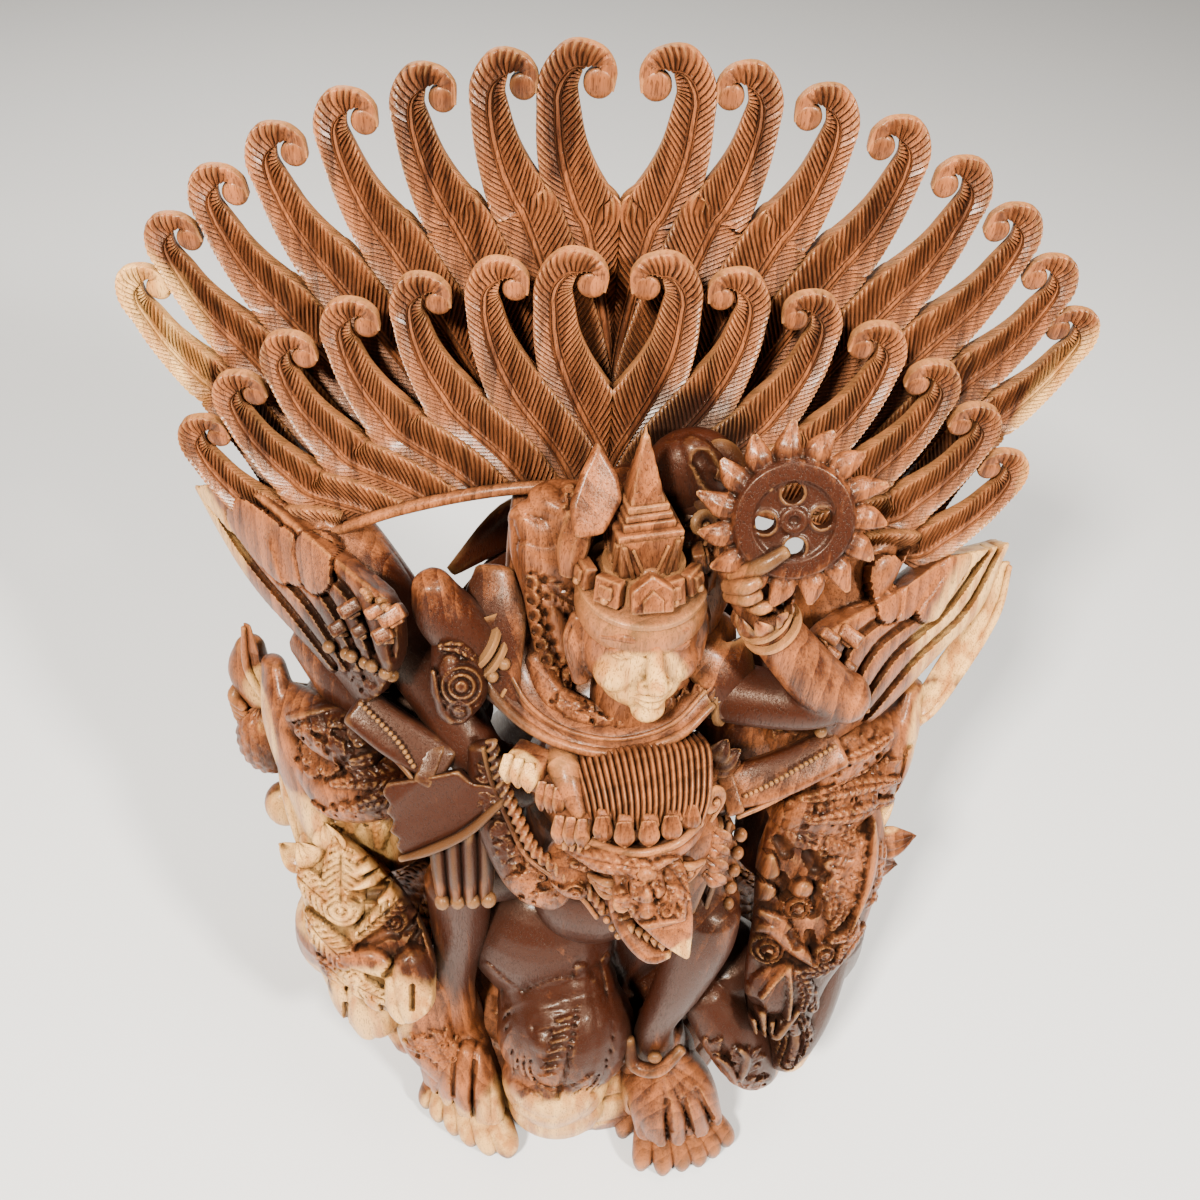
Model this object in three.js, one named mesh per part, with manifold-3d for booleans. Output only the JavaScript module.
import * as THREE from 'three';
import { mergeVertices } from 'three/addons/utils/BufferGeometryUtils.js';
import Module from 'manifold-3d';

// Vishnu riding the bird Garuda, who stands on the world turtle between two crowned serpents.
// The whole group is carved from one length of log, so it is one solid.
// X runs to the viewer's right, Y to the back, Z up. Millimetres.
// The origin is the middle of the flat underside.

// Driving dimensions
const footprint = { halfWidth: 84, halfDepth: 78, shift: 4 }; // the turtle's body on the floor
const upperFan = {
  perSide: 8, halfWidth: 162.4, rise: 132, centreX: -1, centreZ: 352, tipY: 52,
  firstAngle: 2.8, lastAngle: 63.2, crowding: 1.08,
  rootX: 8, rootPitch: 15, rootY: 38, rootZ: 387, rootDrop: 35,
};
const lowerFan = {
  perSide: 7, halfWidth: 152.7, rise: 137.6, centreX: -0.5, centreZ: 297, tipY: 30,
  firstAngle: 3, lastAngle: 58, crowding: 1.04,
  rootX: 9, rootPitch: 15.2, rootY: 20, rootZ: 367, rootDrop: 30,
};
const feather = { crook: 8.6, shingle: 7 };
const wheel = {
  centre: [54, -18, 388], tilt: 28, ring: 18, petals: 15, petalTip: 28, thickness: 6, spoke: 8.4, hole: 3.3,
};
const toeClaw = 9; // length of each claw on the floor
const quills = 4; // on each wing

const woodColour = 0x7a4526;
const woodRoughness = 0.42;

const wasm = await Module();
wasm.setup();
const pieces = [];

// A closed geometry as a solid that can be joined, whichever way round its faces are
function solidOf(geometry) {
  const bare = geometry.clone();
  bare.deleteAttribute('normal');
  bare.deleteAttribute('uv');
  const merged = mergeVertices(bare, 1e-3);
  const triVerts = new Uint32Array(merged.index.array);
  const make = () => new wasm.Manifold(new wasm.Mesh({
    numProp: 3, vertProperties: merged.attributes.position.array, triVerts,
  }));
  const solid = make();
  if (solid.volume() > 0) return solid;
  for (let i = 0; i < triVerts.length; i += 3) {
    [triVerts[i + 1], triVerts[i + 2]] = [triVerts[i + 2], triVerts[i + 1]];
  }
  return make();
}

function carve(...geometries) {
  for (const geometry of geometries) pieces.push(solidOf(geometry));
}

// A geometry turned (in degrees), stretched and moved to its place
function placed(geometry, at, turn = [0, 0, 0], stretch = [1, 1, 1]) {
  const angles = turn.map(THREE.MathUtils.degToRad);
  const matrix = new THREE.Matrix4().compose(
    new THREE.Vector3(...at),
    new THREE.Quaternion().setFromEuler(new THREE.Euler(...angles)),
    new THREE.Vector3(...stretch),
  );
  return geometry.clone().applyMatrix4(matrix);
}

const block = (at, size, turn) => placed(new THREE.BoxGeometry(...size), at, turn);
const ball = (at, radii, turn) => placed(new THREE.SphereGeometry(1.05, 7, 4), at, turn, radii);
const bead = (at, radii, turn) => placed(new THREE.IcosahedronGeometry(1.1), at, turn, radii);

// A round or flattened limb through places, with one radius for each of them.
// Its cross-section is as wide as the radius, and flat times that deep towards the viewer.
// flute raises every other edge of it, for locks, quills and fringes.
function limb(places, radii, { sides = 6, flat = 1, facing = [0, -1, 0], roll = 0, flute = 0 } = {}) {
  const path = new THREE.CatmullRomCurve3(places.map((p) => new THREE.Vector3(...p)));
  const spans = places.length - 1;
  const geometry = new THREE.CylinderGeometry(1, 1, 1, sides, spans);
  const position = geometry.attributes.position;
  const front = new THREE.Vector3(...facing);
  for (let i = 0; i < position.count; i++) {
    const along = position.getY(i) + 0.5;
    const tangent = path.getTangent(along);
    const across = tangent.clone().cross(front).normalize();
    const face = across.clone().cross(tangent).normalize();
    across.applyAxisAngle(tangent, roll);
    face.applyAxisAngle(tangent, roll);
    const edge = Math.round((Math.atan2(position.getX(i), position.getZ(i)) * sides) / (2 * Math.PI));
    const radius = radii[Math.round(along * spans)] * (edge % 2 === 0 ? 1 + flute : 1 - flute);
    const point = path.getPoint(along)
      .addScaledVector(across, position.getX(i) * radius)
      .addScaledVector(face, position.getZ(i) * radius * flat);
    position.setXYZ(i, point.x, point.y, point.z);
  }
  return geometry;
}

const spike = (base, tip, radius) => limb([base, tip], [radius, 0.5], { sides: 4 });

// A flat leaf or plate: an outline in its own plane, given thickness, turned and placed
function plate(outline, thickness, at, turn) {
  const shape = new THREE.Shape(outline.map(([x, y]) => new THREE.Vector2(x, y)));
  const geometry = new THREE.ExtrudeGeometry(shape, { depth: thickness, bevelEnabled: false });
  geometry.translate(0, 0, -thickness / 2);
  return placed(geometry, at, turn);
}

// A turned form from its radius at each height, and as many sides
function turned(profile, sides, start = 0) {
  const points = profile.map(([radius, height]) => new THREE.Vector2(radius, height));
  return new THREE.LatheGeometry(points, sides, start);
}

// A row of square teeth from one place to another, as one notched strip facing the viewer
function serrated(from, to, teeth, size, depth) {
  const [start, end] = [new THREE.Vector3(...from), new THREE.Vector3(...to)];
  const pitch = start.distanceTo(end) / teeth;
  const outline = [];
  for (let k = 0; k < teeth; k++) {
    outline.push([k * pitch, size / 2], [(k + 0.75) * pitch, size / 2]);
    outline.push([(k + 0.75) * pitch, size / 4], [(k + 1) * pitch, size / 4]);
  }
  outline.push([teeth * pitch, -size / 2], [0, -size / 2]);
  const run = Math.hypot(end.x - start.x, end.y - start.y);
  const slope = THREE.MathUtils.radToDeg(Math.atan2(end.z - start.z, run));
  const heading = THREE.MathUtils.radToDeg(Math.atan2(end.y - start.y, end.x - start.x));
  const upright = placed(plate(outline, depth, [0, 0, 0]), [0, 0, 0], [0, 0, slope]);
  return placed(placed(upright, [0, 0, 0], [90, 0, 0]), from, [0, 0, heading]);
}

const mix = (a, b, t) => a.map((value, i) => THREE.MathUtils.lerp(value, b[i], t));

// One feather: a ridged plate that sweeps up from its root, hooks over and ends in a round eye.
// side is -1 on the viewer's left and 1 on the right: the hook always turns to the middle.
function carveFeather(fan, side, k) {
  const share = k / (fan.perSide - 1);
  const angle = fan.firstAngle + (fan.lastAngle - fan.firstAngle) * share ** fan.crowding;
  const radians = THREE.MathUtils.degToRad(angle);
  const tip = [
    fan.centreX + side * fan.halfWidth * Math.sin(radians), fan.tipY,
    fan.centreZ + fan.rise * Math.cos(radians),
  ];
  const rootX = fan.rootX + fan.rootPitch * k;
  const lastRootX = fan.rootX + fan.rootPitch * (fan.perSide - 1);
  const root = [side * rootX, fan.rootY, fan.rootZ - fan.rootDrop * (rootX / lastRootX) ** 2];
  const lean = 0.62 * radians;
  const up = [side * Math.sin(lean), 0, Math.cos(lean)];
  const inward = [-side * Math.cos(lean), 0, Math.sin(lean)];
  const hook = (sideways, upwards) => tip.map(
    (value, i) => value + feather.crook * (sideways * inward[i] + upwards * up[i]),
  );
  const neck = hook(-0.95, -1.25);
  const breast = mix(root, neck, 0.66);
  breast[0] -= side * 1.5;
  const curl = [hook(-0.5, 0.3), hook(0.12, 0.14), hook(0.1, -0.35)];
  const places = [root, breast, neck, ...curl];
  const halfWidths = [10.5, 11.4, 5.6, 3.6, 4.3, 2.6];
  carve(limb(places, halfWidths, {
    sides: 5, flat: 0.4, roll: side * THREE.MathUtils.degToRad(feather.shingle),
  }));
}

function carveFans() {
  for (const fan of [upperFan, lowerFan]) {
    for (const side of [-1, 1]) {
      for (let k = 0; k < fan.perSide; k++) carveFeather(fan, side, k);
    }
  }
}

// The shoulders of the wings, and the back that carries both fans
function carveWings() {
  carve(
    limb([[0, 52, 215], [0, 46, 300], [0, 40, 388]], [30, 24, 12], { flat: 0.55 }),
    limb([[-112, 36, 346], [-60, 32, 368], [60, 32, 368], [112, 36, 346]], [6, 9, 9, 6], { sides: 4 }),
  );
  for (const side of [-1, 1]) {
    carve(
      limb([[side * 98, 16, 340], [side * 74, -5, 300], [side * 40, -18, 258]], [9, 11, 14]),
      serrated([side * 102, 4, 324], [side * 74, -16, 276], 4, 11, 14),
      ball([side * 108, 24, 330], [20, 10, 13]), // covert plates
    );
    // long quills, stepped one under the other, each with its own pointed end
    for (let k = 0; k < quills; k++) {
      const t = k / (quills - 1);
      const inner = mix([side * 88, 22, 318], [side * 62, 4, 256], t);
      const outer = mix([side * 156, 46, 328], [side * 138, 28, 258], t);
      carve(limb([inner, mix(inner, outer, 0.75), outer], [12, 12.5, 3], { sides: 4 }));
    }
  }
}

// The side panels that hang from the wings: plates one over the other down to the serpents
function carveSidePanels() {
  const left = [[-134, 14, 292], [-136, 4, 236], [-114, -10, 168]];
  const right = [[142, 22, 290], [131, 8, 232], [118, -10, 162]];
  for (const [side, places] of [[-1, left], [1, right]]) {
    carve(
      limb(places, [12, 18, 14], { flat: 0.5, facing: [side, -0.6, 0] }),
      limb([[side * 66, 14, 268], [side * 98, 14, 218], [side * 100, 8, 150]], [34, 36, 30],
        { flat: 0.75 }),
    );
    for (const t of [0, 0.5, 1]) {
      carve(bead(mix([side * 92, -22, 258], [side * 116, -12, 226], t), [13, 10, 12])); // foliage bumps
    }
  }
  // the broad smooth leaf over the left thigh, and the fringe under it
  carve(
    limb([[-34, -36, 266], [-56, -42, 262], [-74, -46, 248], [-84, -46, 236]], [9, 18, 12, 1],
      { flat: 0.25 }),
    limb([[-92, -24, 288], [-40, -20, 264]], [12, 13]),
    limb([[-50, -30, 254], [-52, -42, 204]], [17, 14], { sides: 12, flat: 0.6, flute: 0.14 }),
  );
  // the toothed sash over the right thigh
  carve(
    limb([[46, -32, 256], [48, -46, 198]], [10, 8], { sides: 4, flat: 0.5 }),
    serrated([54, -38, 248], [54, -44, 202], 4, 9, 7),
  );
}

function carveVishnu() {
  carve(
    limb([[5, 6, 236], [6, -2, 266], [4, -8, 298]], [25, 19, 25], { flat: 0.75 }), // body
    limb([[8, -8, 296], [10, -18, 330]], [12, 10], { sides: 5 }), // neck
    placed(new THREE.CylinderGeometry(1, 1.12, 6, 10), [-1, -13, 303], [84, 0, 4], [33, 1, 22]), // collar
    ball([11, -22, 337], [16.5, 16, 21.5]), // head
    spike([12, -30, 348], [12, -42, 333], 4), // nose
    bead([12, -33, 322], [8, 6, 6]), // chin
    limb([[-21, 8, 361], [-20, 3, 325], [-21, -8, 287]], [8, 12, 8], { sides: 5 }), // hair on the shoulders
    limb([[29, -8, 363], [29, -14, 319]], [8, 7], { sides: 5 }),
    bead([25, 10, 373], [14, 10, 16]),
    limb([[2, 30, 322], [10, -4, 362]], [22, 14], { sides: 5, facing: [0, 0, 1] }), // back of the head
  );
  // crown: diadem of squares, stepped square tiers and a pinnacle, with a leaf on the left
  const tiers = [[0, -6], [15.5, -6], [15.5, 18], [17.5, 18], [17.5, 26], [11, 34], [0, 62]];
  const tower = turned(tiers, 4, Math.PI / 4);
  carve(
    placed(new THREE.CylinderGeometry(1, 1, 10, 10), [11, -20, 358], [94, 0, 0], [18, 1, 17.5]),
    placed(tower, [10, -19, 353], [98, 0, 4]),
    plate([[-4, -18], [4, -18], [7, 0], [-1, 26], [-5, 12]], 5, [-7, -13, 380], [98, -24, 0]),
  );
}

function carveArms() {
  // the right arm, bent with its elbow held high, over the conch
  carve(
    limb([[-18, -12, 299], [-37, -14, 314], [-53, -12, 334], [-58, -12, 347]], [10, 10, 11.5, 6]),
    limb([[-51, -16, 336], [-48, -24, 316], [-54, -34, 290]], [9, 11, 3], { sides: 5 }),
  );
  // the left arm, with its hand on the wheel
  carve(
    limb([[28, -10, 299], [56, -20, 305], [83, -27, 314]], [11, 10.5, 9]),
    limb([[81, -26, 312], [63, -26, 334], [47, -23, 354], [41, -22, 368], [44, -20, 380]],
      [9.5, 9, 8.5, 7, 5]),
  );
}

// The wheel held up on the left hand: flames outside a ring with four round openings
function carveWheel() {
  const flames = [];
  for (let k = 0; k < wheel.petals; k++) {
    for (const [share, reach] of [[0, wheel.ring], [0.5, wheel.petalTip], [0.8, wheel.ring + 6]]) {
      const angle = ((k + share) * 2 * Math.PI) / wheel.petals;
      flames.push(new THREE.Vector2(reach * Math.cos(angle), reach * Math.sin(angle)));
    }
  }
  const face = new THREE.Shape(flames);
  for (let k = 0; k < 4; k++) {
    const angle = (k * Math.PI) / 2 + 0.12;
    const hole = new THREE.Path();
    hole.absarc(wheel.spoke * Math.cos(angle), wheel.spoke * Math.sin(angle), wheel.hole, 0, Math.PI * 2);
    face.holes.push(hole);
  }
  const depth = wheel.thickness;
  const disc = new THREE.ExtrudeGeometry(face, { depth, bevelEnabled: false, curveSegments: 3 });
  disc.translate(0, 0, -depth / 2);
  carve(placed(disc, wheel.centre, [90 - wheel.tilt, 0, 0]));
}

function carveGaruda() {
  carve(
    limb([[7, 6, 140], [6, -4, 185], [7, -8, 232]], [34, 31, 34], { flat: 0.85 }), // body
    limb([[12, -22, 222], [16, -42, 253]], [24, 20]), // neck
    ball([16, -49, 263], [24, 21, 27]), // head
    limb([[14, -30, 294], [17, -60, 284]], [23, 22],
      { sides: 16, flat: 0.75, flute: 0.06, facing: [0, 0, 1] }), // comb
    limb([[19, -62, 263], [24, -78, 255], [31, -87, 246], [35, -88, 238]], [13, 9, 6, 1.2],
      { sides: 5 }), // beak
    limb([[16, -60, 241], [29, -82, 231], [31, -84, 237]], [11, 5, 1.5], { sides: 5 }),
    bead([9, -64, 253], [9, 8, 7]), // eyes
    bead([31, -60, 259], [8, 7, 7]),
    limb([[-9, -54, 263], [19, -73, 268], [41, -46, 274]], [4, 5, 4],
      { sides: 4, facing: [0, 0, 1] }), // brows
    serrated([-5, -58, 272], [39, -54, 286], 5, 12, 8), // squares across the forehead
    bead([-20, -38, 245], [18, 16, 20]), // cheeks and ears
    bead([-8, -54, 230], [13, 12, 13]),
    bead([40, -36, 252], [13, 13, 18]),
  );
  // stepped plates of the crown beside the comb
  for (const at of [[-24, -38, 288], [-15, -48, 274]]) carve(block(at, [17, 15, 15], [-30, 20, 30]));
}

// Garuda's arms, legs and clawed feet
function carveLimbs() {
  carve(
    limb([[33, -20, 242], [91, -22, 282]], [13, 12]),
    limb([[20, 0, 167], [38, -30, 184], [49, -46, 187], [42, -54, 148], [34, -58, 102], [40, -54, 54]],
      [22, 20, 17, 13, 9, 16], { facing: [-1, 0, 0] }),
    limb([[-16, 0, 165], [-46, -20, 184], [-54, -30, 150], [-58, -38, 100], [-60, -42, 50]],
      [22, 18, 12, 9, 15], { facing: [-1, 0, 0] }),
  );
  const right = {
    heel: [40, -54, 50], tips: [[10, -74, 10], [24, -80, 10], [38, -82, 10], [52, -79, 10], [66, -70, 10]],
  };
  const left = {
    heel: [-60, -42, 48], tips: [[-80, -54, 10], [-68, -64, 10], [-55, -69, 10], [-42, -70, 10]],
  };
  for (const { heel, tips } of [right, left]) {
    for (const tip of tips) {
      const [runX, runY] = [tip[0] - heel[0], tip[1] - heel[1]];
      const reach = new THREE.Vector2(runX, runY).setLength(toeClaw);
      const knuckle = [heel[0] + runX * 0.66, heel[1] + runY * 0.6, 32];
      const claw = [tip[0] + reach.x, tip[1] + reach.y, 0];
      carve(limb([heel, knuckle, tip, claw], [11, 10, 8, 2.5], { sides: 4 }));
    }
  }
}

// The world turtle: flat-bottomed body, rising neck and the head between Garuda's feet
function carveTurtle() {
  const profile = [[0, 0], [1, 0], [1.05, 14], [1, 38], [0.8, 62], [0, 90]];
  const body = turned(profile, 14);
  carve(
    placed(body, [0, footprint.shift, 0], [90, 0, 0], [footprint.halfWidth, 1, footprint.halfDepth]),
    limb([[1, 20, 79], [-1, 6, 165]], [56, 38]),
    ball([-18, -20, 122], [37, 32, 46]),
    ball([-7, -46, 82], [29, 29, 42]),
    bead([-5, -64, 60], [22, 18, 24]),
    bead([-22, -61, 103], [10, 10, 10]),
    bead([12, -61, 105], [10, 10, 10]),
  );
}

// One crowned serpent: a body wound round the turtle, and a head looking out to the front
function carveSerpent(side, head) {
  carve(
    limb([head.neck, [side * 110, -14, 100], [side * 98, 10, 60], [side * 84, 48, 34], [0, 78, 28]],
      [22, 24, 24, 23, 18]),
    ball(head.skull, [23, 25, 32]),
    limb([head.skull, head.snout], [20, 9]),
    limb([head.neck, mix(head.neck, head.jaw, 0.6), head.jaw], [19, 17, 7]),
    bead(head.eye, [8, 8, 8]),
  );
  for (const tip of head.crest) carve(spike(mix(head.skull, tip, 0.3), tip, 17));
}

function carveSerpents() {
  carveSerpent(-1, {
    neck: [-108, -26, 138], skull: [-100, -34, 149], eye: [-92, -52, 156],
    snout: [-73, -60, 124], jaw: [-86, -54, 78],
    crest: [[-128, -14, 181], [-98, -20, 206], [-82, -26, 212]],
  });
  carveSerpent(1, {
    neck: [108, -24, 136], skull: [92, -36, 160], eye: [79, -54, 170],
    snout: [83, -65, 133], jaw: [98, -58, 74],
    crest: [[134, -10, 187], [112, -10, 214], [92, -22, 212]],
  });
}

// The plainer back: Garuda's tail, spread over the turtle
function carveBack() {
  for (const spread of [-1, 0, 1]) {
    const places = [[spread * 16, 32, 220], [spread * 36, 64, 140], [spread * 50, 76, 30]];
    carve(limb(places, [18, 26, 14], { flat: 0.5, facing: [0, 1, 0] }));
  }
}

carveFans();
carveWings();
carveSidePanels();
carveVishnu();
carveArms();
carveWheel();
carveGaruda();
carveLimbs();
carveTurtle();
carveSerpents();
carveBack();

// Joins a list in pairs, so that big solids are handled only a few times
function joined(solids) {
  if (solids.length === 1) return solids[0];
  const half = Math.floor(solids.length / 2);
  return joined(solids.slice(0, half)).add(joined(solids.slice(half)));
}

// Everything under the floor is cut away, which leaves the flat underside
const floor = solidOf(new THREE.BoxGeometry(600, 600, 200).translate(0, 0, -100));
const carving = joined(pieces).subtract(floor);

function meshOf(solid, name) {
  const { numProp, vertProperties, triVerts } = solid.getMesh();
  const points = new Float32Array((vertProperties.length / numProp) * 3);
  for (let i = 0; i < points.length / 3; i++) {
    points.set(vertProperties.subarray(i * numProp, i * numProp + 3), i * 3);
  }
  const geometry = new THREE.BufferGeometry();
  geometry.setAttribute('position', new THREE.BufferAttribute(points, 3));
  geometry.setIndex(new THREE.BufferAttribute(new Uint32Array(triVerts), 1));
  geometry.computeVertexNormals();
  const material = new THREE.MeshStandardMaterial({ color: woodColour, roughness: woodRoughness });
  const mesh = new THREE.Mesh(geometry, material);
  mesh.name = name;
  return mesh;
}

const group = new THREE.Group();
group.add(meshOf(carving, 'vishnu_on_garuda'));
export default group;
